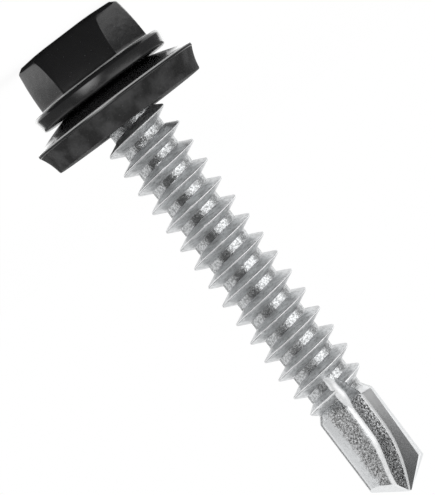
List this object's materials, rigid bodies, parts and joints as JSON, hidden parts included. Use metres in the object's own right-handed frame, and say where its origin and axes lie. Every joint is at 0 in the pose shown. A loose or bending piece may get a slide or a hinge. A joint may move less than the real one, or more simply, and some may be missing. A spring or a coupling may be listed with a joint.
{
  "type": "hex washer head self-drilling screw",
  "caption": "Self-drilling screw with an indented hex washer head, a coarse right-hand thread, a fluted drill point and a captive bonded sealing washer.",
  "frame": {"origin": "centre of the head's rim plane: the screw stands on its head, point up, because it rolls when it lies on its side", "axes": "+Z along the shank, from the head to the drill point; the seal faces +Z"},
  "size_m": [0.0134, 0.0134, 0.0403],
  "materials": {
    "zinc_plated_steel": "bright zinc plate on rolled and forged steel; the head and the flange carry black gloss paint",
    "black_paint": "gloss black paint",
    "seal_rubber": "matte dark grey vulcanised rubber with a faint mottle"
  },
  "bodies": {
    "screw": {"screw": "zinc_plated_steel"},
    "sealing_washer": {"washer_plate": "black_paint", "washer_gasket": "seal_rubber"}
  },
  "joints": [
    {"name": "washer_spin", "type": "hinge", "parent": "screw", "child": "sealing_washer", "pos_m": [0, 0, 0.006], "axis": [0, 0, 1], "continuous": true}
  ]
}
